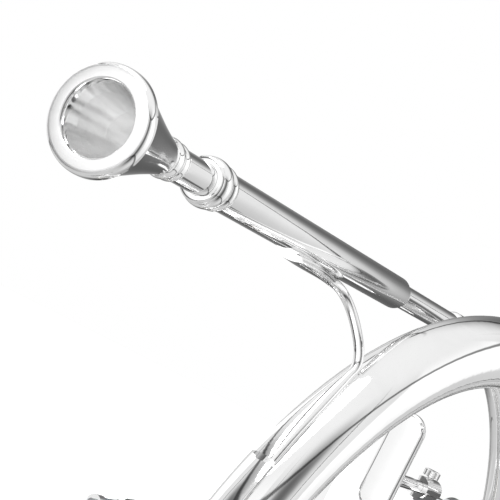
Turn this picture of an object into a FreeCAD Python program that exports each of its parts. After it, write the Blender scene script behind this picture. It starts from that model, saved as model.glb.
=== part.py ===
import FreeCAD, Part
import Sketcher
import math
import os

# French horn: single, three rotary valves, string action.
# Frame: origin at the centre of the main coil. +X points out of the coil on the bell side,
# +Y points away from the player and +Z points up. Everything is in millimetres.

V = FreeCAD.Vector

SIZES = {
    # the coil and the bell
    "coil_radius": 140,
    "bell_mouth": 309,
    "bell_offset": 40,
    "bell_power": 0.9,
    "bell_wall": 0.6,
    "flare_length": 200,
    "bell_drop": 20,
    "bell_lean": 14,
    "lean_radius": 300,
    "tail_blend": 640,
    "tail_taper": 0.0107,
    "rim_wire": 1.6,
    "bow_end": 30,
    # the leadpipe line, from the rim of the mouthpiece to the top of the coil
    "lead_reach": 279.5,
    "lead_toe": 7.09,
    "lead_offset": 30.4,
    "lead_rise": 0.5,
    "lead_radius": 4.05,
    "lead_wall": 0.6,
    "lead_bow_radius": 4.6,
    "lead_inset": 2,
    "sleeve_radius": 5.4,
    "sleeve_end": 217,
    # the mouthpiece and its receiver
    "rim_radius": 13.5,
    "cup_radius": 9.7,
    "throat_radius": 2.2,
    "shank_radius": 4.45,
    "shank_tip": 4.15,
    "mouthpiece_length": 74,
    "receiver_start": 56.5,
    "receiver_length": 12,
    "ball_radius": 6.9,
    # the cylindrical tubing
    "tube_radius": 6.45,
    "tube_wall": 0.5,
    "slide_gap": 0.05,
    "outer_radius": 7,
    # the valves
    "valve_plane": 38,
    "valve_height": 28,
    "valve_spacing": 52,
    "casing_radius": 19,
    "casing_half": 17,
    "rotor_radius": 16.5,
    "rotor_half": 12.1,
    "rotor_gap": 0.05,
    "spindle_radius": 3.5,
    "stem_radius": 2,
    "string_offset": 9,
    "hub_radius": 3.7,
    "arm_length": 13,
    "arm_width": 5,
    "cap_wall": 1.9,
    "leg_half": 17.5,
    "stand_off": 19,
    "knee_radius": 14,
    # the keys
    "hinge_height": 24,
    "rod_radius": 1.5,
    "barrel_radius": 3.2,
    "barrel_length": 20,
    "bar_half": 11,
    "bar_thick": 2.5,
    "touch_width": 14,
    "touch_length": 30,
    "touch_thick": 2.2,
    "touch_reach": 30,
    "touch_pitch": 21.8,
    "touch_shift": 37,
    "touch_inset": 8,
    "string_radius": 0.4,
    # the main tuning slide and its water key
    "main_plane": 58,
    "main_high": 40,
    "main_far": 60,
    "main_mouth": 20,
    "main_near": 60,
    "key_pivot": 38,
    "key_nipple": 50,
    # the finger hook
    "hook_plane": 46,
    "hook_face": 46.5,
    "hook_rod_height": 77.9,
    "hook_rod": 2.5,
    "hook_width": 15,
    "hook_top": 104,
    "hook_bottom": 62,
    "hook_thick": 4,
    "hook_shift": 4,
    # the brace between the leadpipe and the coil
    "brace_wire": 1.6,
    "foot_width": 9.4,
}

doc = FreeCAD.newDocument("french_horn")
sheet = doc.addObject("Spreadsheet::Sheet", "sizes")
for row, (alias, value) in enumerate(SIZES.items(), start=1):
    sheet.set("A%d" % row, alias)
    sheet.set("B%d" % row, str(value))
    sheet.setAlias("B%d" % row, alias)
doc.recompute()


def size(alias):
    """The number that the sheet holds under an alias."""
    return float(sheet.get(alias))


parts = []


def keep(thing, label):
    """Marks an object as a finished sub-part, with the label that names its file."""
    thing.Label = label
    parts.append(thing)
    return thing


def unit(vector):
    return FreeCAD.Vector(vector).normalize()


def aimed(base, direction):
    """A placement at base whose local Z runs along direction."""
    return FreeCAD.Placement(base, FreeCAD.Rotation(V(0, 0, 1), direction))


# ---- parametric primitives, bound to the sheet ----

def cylinder(name, radius, height, base, direction):
    thing = doc.addObject("Part::Cylinder", name)
    thing.setExpression("Radius", radius)
    thing.setExpression("Height", height)
    thing.Placement = aimed(base, direction)
    return thing


def box(name, low, length, width, height):
    """A box with its low corner at low and its sides along X, Y and Z."""
    thing = doc.addObject("Part::Box", name)
    thing.setExpression("Length", length)
    thing.setExpression("Width", width)
    thing.setExpression("Height", height)
    thing.Placement.Base = low
    return thing


def torus(name, major, minor, centre, axis):
    thing = doc.addObject("Part::Torus", name)
    thing.setExpression("Radius1", major)
    thing.setExpression("Radius2", minor)
    thing.Placement = aimed(centre, axis)
    return thing


def fuse(name, things):
    thing = doc.addObject("Part::MultiFuse", name)
    thing.Shapes = things
    return thing


def cut(name, base, tools):
    """Takes each tool out of base in turn."""
    for number, tool in enumerate(tools, start=1):
        step = doc.addObject("Part::Cut", "%s_%d" % (name, number))
        step.Base = base
        step.Tool = tool
        base = step
    return base


def feature(name, shape):
    """An object whose shape is made directly, for what no primitive or body fits."""
    thing = doc.addObject("Part::Feature", name)
    thing.Shape = shape
    return thing


def origin_plane(body, role):
    return [item for item in body.Origin.OriginFeatures if item.Role == role][0]


def group(label, things):
    """One sub-part made of separate solids."""
    thing = doc.addObject("Part::Compound", label)
    thing.Links = things
    return keep(thing, label)


def turned(label, outline, base, direction):
    """A lathe-turned body: a closed outline of (distance, radius) expressions about local X."""
    body = doc.addObject("PartDesign::Body", label)
    sketch = body.newObject("Sketcher::SketchObject", label + "_outline")
    sketch.AttachmentSupport = [(origin_plane(body, "XY_Plane"), "")]
    sketch.MapMode = "FlatFace"
    count = len(outline)
    for index in range(count):
        start = V(index, 1 + index % 2, 0)
        end = V((index + 1) % count, 1 + (index + 1) % count % 2, 0)
        sketch.addGeometry(Part.LineSegment(start, end))
    for index in range(count):
        sketch.addConstraint(Sketcher.Constraint("Coincident", index, 2, (index + 1) % count, 1))
    for index, (distance, radius) in enumerate(outline):
        along = sketch.addConstraint(Sketcher.Constraint("DistanceX", -1, 1, index, 1, float(index)))
        sketch.setExpression("Constraints[%d]" % along, distance)
        away = sketch.addConstraint(Sketcher.Constraint("DistanceY", -1, 1, index, 1, 1.0 + index % 2))
        sketch.setExpression("Constraints[%d]" % away, radius)
    turn = body.newObject("PartDesign::Revolution", label + "_turn")
    turn.Profile = sketch
    turn.ReferenceAxis = (sketch, ["H_Axis"])
    turn.Angle = 360
    body.Placement = FreeCAD.Placement(base, FreeCAD.Rotation(V(1, 0, 0), direction))
    return body


# ---- shapes for bent and tapered tube ----

def route(points, radii):
    """A wire of straight runs and tangent arcs: one radius for each inner point."""
    edges = []
    last = points[0]
    for index, radius in enumerate(radii, start=1):
        corner = points[index]
        back = unit(points[index - 1] - corner)
        ahead = unit(points[index + 1] - corner)
        half = back.getAngle(ahead) / 2
        tangent = radius / math.tan(half)
        start = corner + back * tangent
        end = corner + ahead * tangent
        middle_way = unit(back + ahead)
        middle = corner + middle_way * (radius / math.sin(half) - radius)
        if (start - last).Length > 1e-6:
            edges.append(Part.LineSegment(last, start).toShape())
        edges.append(Part.Arc(start, middle, end).toShape())
        last = end
    if (points[-1] - last).Length > 1e-6:
        edges.append(Part.LineSegment(last, points[-1]).toShape())
    return Part.Wire(edges)


def ring(centre, direction, radius):
    return Part.Wire(Part.Circle(centre, direction, radius).toShape())


def rod_along(points, radii, start_radius, end_radius):
    """A solid bar of round section along a route, straight or tapering from end to end."""
    shell = Part.BRepOffsetAPI.MakePipeShell(route(points, radii))
    shell.setFrenetMode(False)
    shell.add(ring(points[0], points[1] - points[0], start_radius))
    if start_radius != end_radius:
        shell.add(ring(points[-1], points[-1] - points[-2], end_radius))
    shell.build()
    shell.makeSolid()
    return shell.shape()


def bored(points, radii, start_radius, end_radius, wall):
    """The outside of a tube as a filled bar, and the tube itself."""
    filled = rod_along(points, radii, start_radius, end_radius)
    bore = rod_along(points, radii, start_radius - wall, end_radius - wall)
    return filled, filled.cut(bore)


def curve_through(points):
    spline = Part.BSplineCurve()
    spline.interpolate(points)
    return spline.toShape()


def lathe(runs, base, direction):
    """A solid of revolution about local Z. Each run is ("line" or "curve", [(distance, radius)])."""
    edges = []
    for kind, run in runs:
        points = [V(radius, 0, distance) for distance, radius in run]
        if kind == "curve":
            edges.append(curve_through(points))
        else:
            edges.extend(Part.LineSegment(a, b).toShape() for a, b in zip(points, points[1:]))
    face = Part.Face(Part.Wire(edges))
    solid = face.revolve(V(0, 0, 0), V(0, 0, 1), 360)
    solid.Placement = aimed(base, direction)
    return solid


# ---- the centre line of the bell and its tail, by distance from the mouth ----

R = size("coil_radius")
first_angle = math.radians(size("bell_drop") - 90)
lean = math.radians(size("bell_lean"))
lean_run = size("lean_radius") * lean
circle_start = size("flare_length") + lean_run
coil_foot = V(0, R * math.cos(first_angle), R * math.sin(first_angle))
down_bell = V(0, math.sin(first_angle), -math.cos(first_angle))
OUT = V(1, 0, 0)


def station(distance):
    """The point on the centre line at a distance from the mouth, and the direction inward."""
    if distance >= circle_start:
        angle = first_angle + (distance - circle_start) / R
        point = V(0, R * math.cos(angle), R * math.sin(angle))
        return point, V(0, -math.sin(angle), math.cos(angle))
    turn = min(circle_start - distance, lean_run) / size("lean_radius")
    point = coil_foot + down_bell * (size("lean_radius") * math.sin(turn))
    point = point + OUT * (size("lean_radius") * (1 - math.cos(turn)))
    outward = down_bell * math.cos(turn) + OUT * math.sin(turn)
    straight = max(0, size("flare_length") - distance)
    return point + outward * straight, outward * -1


def at_angle(degrees):
    """The distance from the mouth of a place on the coil, by its angle from +Y towards +Z."""
    return circle_start + (math.radians(degrees) - first_angle) * R


def bore_radius(distance):
    """Inside radius of the bell: a horn law near the mouth, then a slow cone."""
    offset = size("bell_offset")
    reach = min(distance, size("tail_blend"))
    law = size("bell_mouth") / 2 * (offset / (reach + offset)) ** size("bell_power")
    return law - max(0, distance - size("tail_blend")) * size("tail_taper") / 2


def tail_solid(start, end, grow):
    """The bell's tail between two distances from the mouth, as a filled bar grown by grow."""
    count = max(3, int((end - start) / 28) + 1)
    rings = []
    for index in range(count + 1):
        distance = start + (end - start) * index / count
        point, direction = station(distance)
        rings.append(ring(point, direction, bore_radius(distance) + grow))
    return Part.makeLoft(rings, True, False)


def tail_tube(start, end):
    filled = tail_solid(start, end, size("bell_wall"))
    bore = tail_solid(start, end, 0)
    return filled, filled.cut(bore)


def bell_flare():
    wall = size("bell_wall")
    inner = []
    outer = []
    for step in range(15):
        distance = size("flare_length") * (step / 14) ** 2
        radius = bore_radius(distance)
        slope = (bore_radius(distance + 0.01) - radius) / 0.01
        length = math.hypot(1, slope)
        inner.append((distance, radius))
        outer.append((distance - slope / length * wall, radius + wall / length))
    outer[-1] = (size("flare_length"), bore_radius(size("flare_length")) + wall)
    mouth, inward = station(0)
    runs = [
        ("curve", inner),
        ("line", [inner[-1], outer[-1]]),
        ("curve", outer[::-1]),
        ("line", [outer[0], inner[0]]),
    ]
    flare = lathe(runs, mouth, inward)
    depth = (inner[0][0] + outer[0][0]) / 2 - (outer[0][1] - inner[0][1]) / wall * size("rim_wire")
    reach = (inner[0][1] + outer[0][1]) / 2 + (outer[0][0] - inner[0][0]) / wall * size("rim_wire")
    wire = Part.makeTorus(reach, size("rim_wire"))
    wire.Placement = aimed(mouth + inward * depth, inward)
    return flare, wire


def band(centre, direction, radius, length, tubes):
    """A ferrule: a band with turned-down ends round a joint, fitted to the tubes inside it."""
    half = length / 2
    runs = [("line", [(-half, 0), (-half, radius - 0.5)]),
            ("curve", [(-half, radius - 0.5), (0, radius), (half, radius - 0.5)]),
            ("line", [(half, radius - 0.5), (half, 0), (-half, 0)])]
    blank = lathe(runs, centre, direction)
    for tube in tubes:
        blank = blank.cut(tube)
    return max(blank.Solids, key=lambda solid: solid.Volume)


# ---- bell, bow, tail and the branch that leads back to the valves ----

flare, rim_wire = bell_flare()
keep(feature("bell_flare", flare), "bell_flare")
keep(feature("bell_rim_wire", rim_wire), "bell_rim_wire")

bow_end = at_angle(size("bow_end"))
tail_end = at_angle(180)
bow_filled, bow_tube = tail_tube(size("flare_length"), bow_end)
tail_filled, tail_tube_shape = tail_tube(bow_end, tail_end)
keep(feature("bell_bow", bow_tube), "bell_bow")
keep(feature("bell_tail", tail_tube_shape), "bell_tail")

flare_joint, flare_way = station(size("flare_length"))
flare_fill = flare.fuse(tail_solid(size("flare_length") - 40, size("flare_length"), 0))
bell_band = band(flare_joint, flare_way, bore_radius(size("flare_length")) + 2.6, 12,
                 [flare_fill, bow_filled])
keep(feature("bell_ferrule", bell_band), "bell_ferrule")

bow_joint, bow_way = station(bow_end)
bow_band = band(bow_joint, bow_way, bore_radius(bow_end) + 1.9, 14, [bow_filled, tail_filled])

valve_x = -size("valve_plane")
valve_z = size("valve_height")
spacing = size("valve_spacing")
casing = size("casing_radius")
VALVES = (1, 2, 3)


def valve_centre(number):
    return V(valve_x, (number - 2) * spacing, valve_z)


def port_way(degrees):
    angle = math.radians(degrees)
    return V(0, math.cos(angle), math.sin(angle))


def knee(number, degrees, away_y):
    """The corner above a valve where a port's line meets the upright run at away_y."""
    centre = valve_centre(number)
    rise = abs(away_y - centre.y)
    return V(valve_x, away_y, centre.z + rise), centre + port_way(degrees) * (casing - 2)


tube = size("tube_radius")
wall = size("tube_wall")
side_y = spacing + casing + size("stand_off")
tail_point, tail_way = station(tail_end)
turn_z = -0.615 * R
branch_knee, branch_port = knee(1, 135, -side_y)
branch_points = [tail_point, V(0, -R, turn_z), V(valve_x, -side_y, turn_z), branch_knee, branch_port]
branch_turn = 0.47 * (branch_points[2] - branch_points[1]).Length
branch_filled, branch_tube = bored(branch_points, [branch_turn, branch_turn, size("knee_radius")],
                                   bore_radius(tail_end) + size("bell_wall"), tube, wall)
casing_blocks = [Part.makeCylinder(casing, 2 * size("casing_half"),
                                   valve_centre(number) - OUT * size("casing_half"), OUT)
                 for number in VALVES]
keep(feature("valve_branch", branch_tube.cut(casing_blocks[0])), "valve_branch")

tail_band = band(tail_point, tail_way, bore_radius(tail_end) + 1.7, 14, [tail_filled, branch_filled])

# ---- the leadpipe line ----

toe = math.radians(size("lead_toe"))
lead_way = V(-math.sin(toe), math.cos(toe), 0)
lead_top = V(-size("lead_offset"), 0, R + size("lead_rise"))
rim_point = lead_top - lead_way * size("lead_reach")


def along_lead(distance):
    """A point on the leadpipe's axis, by distance from the rim of the mouthpiece."""
    return rim_point + lead_way * distance


def mouthpiece():
    rim = size("rim_radius")
    cup = size("cup_radius")
    throat = size("throat_radius")
    shank = size("shank_radius")
    start = size("receiver_start")
    end = size("mouthpiece_length")
    face = rim - 1.5
    runs = [
        ("curve", [(2.2, cup - 0.9), (1.1, cup - 0.7), (0.35, cup - 0.35), (0, cup)]),
        ("line", [(0, cup), (0, face)]),
        ("curve", [(0, face), (0.25, rim - 0.8), (0.9, rim - 0.25), (2, rim), (3.4, rim)]),
        ("line", [(3.4, rim), (4.2, rim - 0.7)]),
        ("curve", [(4.2, rim - 0.7), (8, rim - 1.9), (14, rim - 3.7), (22, rim - 6), (29, rim - 7.8),
                   (33.5, shank + 0.3)]),
        ("line", [(33.5, shank + 0.3), (33.5, shank + 0.6)]),
        ("curve", [(33.5, shank + 0.6), (35, shank + 0.95), (36.5, shank + 0.6)]),
        ("line", [(36.5, shank + 0.6), (36.5, shank - 0.1), (37.5, shank - 0.1), (37.5, shank + 0.4)]),
        ("curve", [(37.5, shank + 0.4), (38.7, shank + 0.65), (39.9, shank + 0.4)]),
        ("line", [(39.9, shank + 0.4), (39.9, shank), (start, shank), (end, size("shank_tip")),
                  (end, size("shank_tip") - 0.8), (40, throat + 0.4), (34, throat)]),
        ("curve", [(34, throat), (26, throat + 1.3), (14, throat + 4.3), (2.2, cup - 0.9)]),
    ]
    return lathe(runs, rim_point, lead_way)


def receiver():
    start = size("receiver_start")
    end = start + size("receiver_length")
    ball = size("ball_radius")
    gap = size("slide_gap")
    narrow = (size("shank_radius") - size("shank_tip")) / (size("mouthpiece_length") - start)
    bore_start = size("shank_radius") + gap
    bore_end = bore_start - narrow * (end - start)
    runs = [
        ("line", [(start, bore_start), (start, ball - 1.2)]),
        ("curve", [(start, ball - 1.2), (start + 0.7, ball - 0.6), (start + 1.4, ball - 1.2)]),
        ("curve", [(start + 1.4, ball - 1.2), (start + 2.4, ball - 0.3), (start + 4.1, ball),
                   (start + 5.8, ball - 0.3), (start + 6.8, ball - 1.2)]),
        ("line", [(start + 6.8, ball - 1.2), (start + 7.4, ball - 1.4)]),
        ("curve", [(start + 7.4, ball - 1.4), (start + 8.1, ball - 0.75), (start + 9.1, ball - 0.55),
                   (start + 10.1, ball - 0.75), (end - 0.2, ball - 1.5)]),
        ("line", [(end - 0.2, ball - 1.5), (end, ball - 1.5), (end, bore_end), (start, bore_start)]),
    ]
    return lathe(runs, rim_point, lead_way)


keep(feature("mouthpiece", mouthpiece()), "mouthpiece")
keep(feature("receiver", receiver()), "receiver")

sleeve_start = "sizes.receiver_start + sizes.receiver_length"
pipe_start = "sizes.mouthpiece_length + 1"
sleeve_body = turned("leadpipe_sleeve", [
    (sleeve_start, "sizes.shank_radius + sizes.slide_gap"),
    (sleeve_start, "sizes.sleeve_radius"),
    ("sizes.sleeve_end - 4", "sizes.sleeve_radius"),
    ("sizes.sleeve_end", "sizes.lead_radius + 0.25"),
    ("sizes.sleeve_end", "sizes.lead_radius"),
    (pipe_start, "sizes.lead_radius"),
    (pipe_start, "sizes.shank_radius + sizes.slide_gap"),
], rim_point, lead_way)
keep(sleeve_body, "leadpipe_sleeve")

lead_bend_y = -8
lead_bend = along_lead(size("lead_reach") + lead_bend_y / math.cos(toe))
joint_y = 0
joint_half = 3
lead_joint = V(lead_bend.x, joint_y, lead_top.z)
lead_points = [along_lead(size("mouthpiece_length") + 1), lead_bend, lead_joint]
lead_turn = (-lead_bend_y - joint_half) / math.tan(toe / 2)
lead_r = size("lead_radius")
lead_filled, lead_tube = bored(lead_points, [lead_turn], lead_r, lead_r, size("lead_wall"))
keep(feature("leadpipe", lead_tube), "leadpipe")

lead_x = lead_bend.x
far_y = R - size("lead_inset") + 0.5
bow_start_r = size("lead_bow_radius")
lead_corner = V(lead_x, far_y, lead_top.z)
lead_foot = V(lead_x, far_y, 0)
lead_bow_points = [lead_joint, lead_corner, lead_foot]
lead_bow_filled, lead_bow_tube = bored(lead_bow_points, [far_y - joint_half], bow_start_r, tube, wall)
keep(feature("leadpipe_bow", lead_bow_tube), "leadpipe_bow")
lead_ferrule = turned("leadpipe_ferrule", [
    ("-%g" % joint_half, "sizes.lead_radius"),
    ("-%g" % joint_half, "sizes.lead_bow_radius"),
    ("-%g" % (joint_half - 0.8), "sizes.lead_bow_radius + 0.45"),
    ("%g" % (joint_half - 0.8), "sizes.lead_bow_radius + 0.45"),
    ("%g" % joint_half, "sizes.lead_bow_radius + 0.3"),
    ("%g" % joint_half, "sizes.lead_bow_radius + 0.06"),
    ("0", "sizes.lead_bow_radius"),
    ("0", "sizes.lead_radius"),
], lead_joint, V(0, 1, 0))
keep(lead_ferrule, "leadpipe_ferrule")

# ---- the main tuning slide and the tubes that join it to the leadpipe and the valves ----

main_x = -size("main_plane")
main_top = -size("main_high")
main_low = main_top - 2 * size("leg_half")
crook_points = [lead_foot, V(lead_x, far_y, main_low + 13), V(main_x, size("main_far") + 20, main_low),
                V(main_x, size("main_far"), main_low)]
crook_filled, crook_tube = bored(crook_points, [28, 60], tube, tube, wall)
keep(feature("leadpipe_crook", crook_tube), "leadpipe_crook")
lead_band = band(lead_foot, V(0, 0, 1), tube + 0.9, 12, [lead_bow_filled, crook_filled])
keep(feature("coil_ferrules", Part.makeCompound([bow_band, tail_band, lead_band])), "coil_ferrules")

feed_knee, feed_port = knee(3, 45, side_y)
feed_points = [V(main_x, size("main_far"), main_top), V(main_x, side_y, main_top),
               V(valve_x, side_y, main_top + 45), feed_knee, feed_port]
feed_filled, feed_tube = bored(feed_points, [18, 40, size("knee_radius")], tube, tube, wall)
keep(feature("valve_feed", feed_tube.cut(casing_blocks[2])), "valve_feed")

leg_bore = "sizes.tube_radius + sizes.slide_gap"
main_leg_length = "sizes.main_far + sizes.main_mouth"
legs = []
leg_bores = []
for name, height in (("high", main_top), ("low", main_low)):
    mouth = V(main_x, -size("main_mouth"), height)
    legs.append(cylinder("main_leg_" + name, "sizes.outer_radius", main_leg_length, mouth, V(0, 1, 0)))
    leg_bores.append(cylinder("main_bore_" + name, leg_bore, main_leg_length, mouth, V(0, 1, 0)))
legs.append(cylinder("main_leg_tie", "sizes.brace_wire", "2 * sizes.leg_half",
                     V(main_x, 10, main_low), V(0, 0, 1)))
keep(cut("main_legs", fuse("main_leg_blank", legs), leg_bores), "main_slide_legs")

slide_start = size("main_far") - 10
main_ends = [V(main_x, slide_start, main_top), V(main_x, -size("main_near") - size("leg_half"), main_top),
             V(main_x, -size("main_near") - size("leg_half"), main_low),
             V(main_x, slide_start, main_low)]
main_filled, main_tube = bored(main_ends, [size("leg_half")] * 2, tube, tube, wall)


def collar(centre, direction, filled_bore):
    """A ring that stops an inner slide at the mouth of its outer tube."""
    blank = Part.makeCylinder(size("outer_radius"), 7, centre, direction)
    return blank.cut(filled_bore)


def slide_solid(tube_shape, filled, mouths, direction, extras):
    gap = direction * 0.2
    pieces = [collar(mouth + gap, direction, filled) for mouth in mouths]
    pieces.extend(extra.cut(filled) for extra in extras)
    return tube_shape.fuse(pieces).removeSplitter()


BACK = V(0, -1, 0)
DOWN = V(0, 0, -1)
main_mouths = [V(main_x, -size("main_mouth"), height) for height in (main_top, main_low)]
main_tie = Part.makeCylinder(size("brace_wire"), 2 * size("leg_half"),
                             V(main_x, -size("main_near") + 4, main_low), V(0, 0, 1))
main_slide = slide_solid(main_tube, main_filled, main_mouths, BACK, [main_tie])
keep(feature("main_tuning_slide", main_slide), "main_tuning_slide")

key_z = main_low - tube - 3.5
pivot = V(main_x, -size("key_pivot"), key_z)
nipple_y = -size("key_nipple")
seat = Part.makeCylinder(2.6, 9, V(main_x, nipple_y, key_z + 1), V(0, 0, 1))
seat = seat.cut(main_filled).cut(Part.makeCylinder(1.2, 9, V(main_x, nipple_y, key_z + 1), V(0, 0, 1)))
ears = []
for side in (-1, 1):
    ear = Part.makeBox(1.5, 6, 9, V(main_x + side * 4.8 - 0.75, pivot.y - 3, key_z - 2.5))
    ears.append(ear.cut(main_filled).cut(Part.makeCylinder(1, 14, pivot - OUT * 7, OUT)))
keep(feature("water_key_seat", Part.makeCompound([seat] + ears)), "water_key_seat")
keep(cylinder("key_pin", "1", "12", pivot - OUT * 6, OUT), "water_key_pin")
key_barrel = cylinder("key_barrel", "2.2", "7.8", pivot - OUT * 3.9, OUT)
key_plate = box("key_plate", V(main_x - 3, nipple_y - 3.5, key_z - 3.2), "6",
                "sizes.key_nipple - sizes.key_pivot + 3.5", "1.5")
key_touch = box("key_touch", V(main_x - 2.5, pivot.y, key_z - 3.2), "5", "15", "1.5")
key_thumb = cylinder("key_thumb", "4", "1.5", V(main_x, pivot.y + 14, key_z - 3.2), V(0, 0, 1))
key_bore = cylinder("key_bore", "1 + sizes.slide_gap", "14", pivot - OUT * 7, OUT)
key = cut("key", fuse("key_blank", [key_barrel, key_plate, key_touch, key_thumb]), [key_bore])
keep(key, "water_key")
keep(cylinder("key_cork", "3", "2.55", V(main_x, nipple_y, key_z - 1.65), V(0, 0, 1)), "water_key_cork")

# ---- valves ----

LEG_ENDS = {1: 40, 2: 24, 3: 92}
SLIDE_TOPS = {1: 2, 2: 1, 3: 30}
CROOKS = {1: 68, 2: 40, 3: 118}


def valve_slide_legs(number):
    """The two outer tubes of a valve slide, each with its knuckle from the casing."""
    centre = valve_centre(number)
    half = size("leg_half")
    corner_run = half * math.sqrt(2) - casing
    bend = corner_run / math.tan(math.radians(22.5))
    mouth_z = -LEG_ENDS[number]
    bore_top = valve_z - half - corner_run - 4
    pieces = []
    for side, degrees in ((-1, 225), (1, 315)):
        start = centre + port_way(degrees) * (casing - 2)
        corner = centre + V(0, side * half, -half)
        mouth = V(valve_x, corner.y, mouth_z)
        outer = rod_along([start, corner, mouth], [bend], size("outer_radius"), size("outer_radius"))
        inner = rod_along([start, corner, mouth], [bend], tube - wall, tube - wall)
        bore = Part.makeCylinder(tube + size("slide_gap"), bore_top - mouth_z, mouth, V(0, 0, 1))
        pieces.append(outer.cut(inner).cut(bore).cut(casing_blocks[number - 1]))
    tie_z = mouth_z + 12
    tie = Part.makeCylinder(size("brace_wire"), 2 * half, V(valve_x, centre.y - half, tie_z), V(0, 1, 0))
    for side in (-1, 1):
        leg_core = V(valve_x, centre.y + side * half, mouth_z)
        tie = tie.cut(Part.makeCylinder(size("outer_radius") - 0.2, bore_top - mouth_z, leg_core, V(0, 0, 1)))
    return pieces[0].fuse([pieces[1], tie])


def valve_slide(number):
    """The inner tubes and crook of a valve slide, with its collars and a pull knob."""
    centre = valve_centre(number)
    half = size("leg_half")
    top = -SLIDE_TOPS[number]
    bottom = -CROOKS[number] - half
    ends = [V(valve_x, centre.y - half, top), V(valve_x, centre.y - half, bottom),
            V(valve_x, centre.y + half, bottom), V(valve_x, centre.y + half, top)]
    filled, hollow = bored(ends, [half, half], tube, tube, wall)
    mouths = [V(valve_x, centre.y + side * half, -LEG_ENDS[number]) for side in (-1, 1)]
    knob_top = V(valve_x, centre.y, bottom)
    stalk = Part.makeCylinder(1.4, tube + 3, knob_top, DOWN)
    bead = Part.makeSphere(2.4, knob_top + DOWN * (tube + 3.6))
    return slide_solid(hollow, filled, mouths, DOWN, [stalk.fuse(bead)])


def valve_casing(number):
    name = "casing_%d" % number
    centre = valve_centre(number)
    half = size("casing_half")
    outside = cylinder(name + "_outside", "sizes.casing_radius", "2 * sizes.casing_half",
                       centre - OUT * half, OUT)
    floor = centre - OUT * (size("rotor_half") + 0.5)
    bore = cylinder(name + "_bore", "sizes.rotor_radius + sizes.rotor_gap",
                    "sizes.casing_half + sizes.rotor_half + 1", floor, OUT)
    hole = cylinder(name + "_hole", "sizes.spindle_radius + sizes.rotor_gap", "sizes.casing_half",
                    centre - OUT * (half + 1), OUT)
    tools = [bore, hole]
    for degrees in (45, 135, 225, 315):
        tools.append(cylinder("%s_port_%d" % (name, degrees), "sizes.tube_radius - sizes.tube_wall",
                              "sizes.casing_radius + 1", centre, port_way(degrees)))
    keep(cut(name + "_body", outside, tools), "valve_casing_%d" % number)


def rotor(number):
    name = "rotor_%d" % number
    centre = valve_centre(number)
    drum_start = centre - OUT * (size("rotor_half") + 0.4)
    drum = cylinder(name + "_drum", "sizes.rotor_radius", "2 * sizes.rotor_half + 0.4", drum_start, OUT)
    top = centre + OUT * (size("rotor_half") - 1)
    upper = cylinder(name + "_upper", "sizes.spindle_radius + 0.5", "4.2", top, OUT)
    lower = cylinder(name + "_lower", "sizes.spindle_radius",
                     "sizes.casing_half - sizes.rotor_half + 1.3", drum_start + OUT,
                     OUT * -1)
    stem = cylinder(name + "_stem", "sizes.stem_radius", "sizes.casing_half - sizes.rotor_half + 12",
                    drum_start + OUT, OUT * -1)
    passages = []
    for side in (-1, 1):
        bend_centre = centre + V(0, 0, side * size("rotor_radius") * math.sqrt(2))
        passages.append(torus("%s_passage_%d" % (name, side + 2), "sizes.rotor_radius",
                              "sizes.tube_radius - sizes.tube_wall", bend_centre, OUT))
    tap = cylinder(name + "_tap", "1", "8", centre - OUT * (size("casing_half") + 12.2), OUT)
    solid = fuse(name + "_blank", [drum, upper, lower, stem])
    keep(cut(name + "_body", solid, passages + [tap]), "rotor_%d" % number)


def stop_arm(number):
    """The arm that stops a rotor at each end of its quarter turn, with the hub its string winds on."""
    name = "stop_%d" % number
    centre = valve_centre(number)
    face = centre - OUT * size("casing_half")
    length = size("arm_length")
    width = size("arm_width")
    hub = cylinder(name + "_hub", "sizes.hub_radius", "10.4", face - OUT * 1.6, OUT * -1)
    boss = cylinder(name + "_boss", "sizes.hub_radius + 1.6", "2.8", face - OUT * 1.6, OUT * -1)
    arm = box(name + "_arm", face + V(-4.4, -width / 2, -length), "2.8", "sizes.arm_width",
              "sizes.arm_length - 4")
    stem_hole = cylinder(name + "_hole", "sizes.stem_radius", "12", face - OUT, OUT * -1)
    body = cut(name + "_body", fuse(name + "_blank", [hub, boss, arm]), [stem_hole])
    head = cylinder(name + "_head", "3.2", "1.4", face - OUT * 12.05, OUT * -1)
    shank = cylinder(name + "_shank", "1", "6", face - OUT * 12.05, OUT)
    group("stop_arm_%d" % number, [body, fuse(name + "_screw", [head, shank])])


bearings = []


def bearing_and_cap(number):
    centre = valve_centre(number)
    seat_x = centre + OUT * (size("rotor_half") + 0.2)
    bearings.append(turned("bearing_plate_%d" % number, [
        ("0", "sizes.spindle_radius + 0.5 + sizes.rotor_gap"),
        ("0", "sizes.rotor_radius + sizes.rotor_gap"),
        ("2.5", "sizes.rotor_radius + sizes.rotor_gap"),
        ("2.5", "sizes.spindle_radius + 0.5 + sizes.rotor_gap"),
    ], seat_x, OUT))
    rim_x = centre + OUT * (size("casing_half") - 8)
    cap = turned("valve_cap_%d" % number, [
        ("0", "sizes.casing_radius"),
        ("0", "sizes.casing_radius + sizes.cap_wall - 0.4"),
        ("0.8", "sizes.casing_radius + sizes.cap_wall"),
        ("8.4", "sizes.casing_radius + sizes.cap_wall"),
        ("10", "sizes.casing_radius"),
        ("10", "sizes.casing_radius - 4.5"),
        ("9.2", "sizes.casing_radius - 5.3"),
        ("9.2", "sizes.casing_radius - 9"),
        ("10.2", "sizes.casing_radius - 10.5"),
        ("10.5", "0"),
        ("8.1", "0"),
        ("8.1", "sizes.casing_radius"),
    ], rim_x, OUT)
    keep(cap, "valve_cap_%d" % number)


cork_plates = []
corks = []
plate_screws = []


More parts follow.
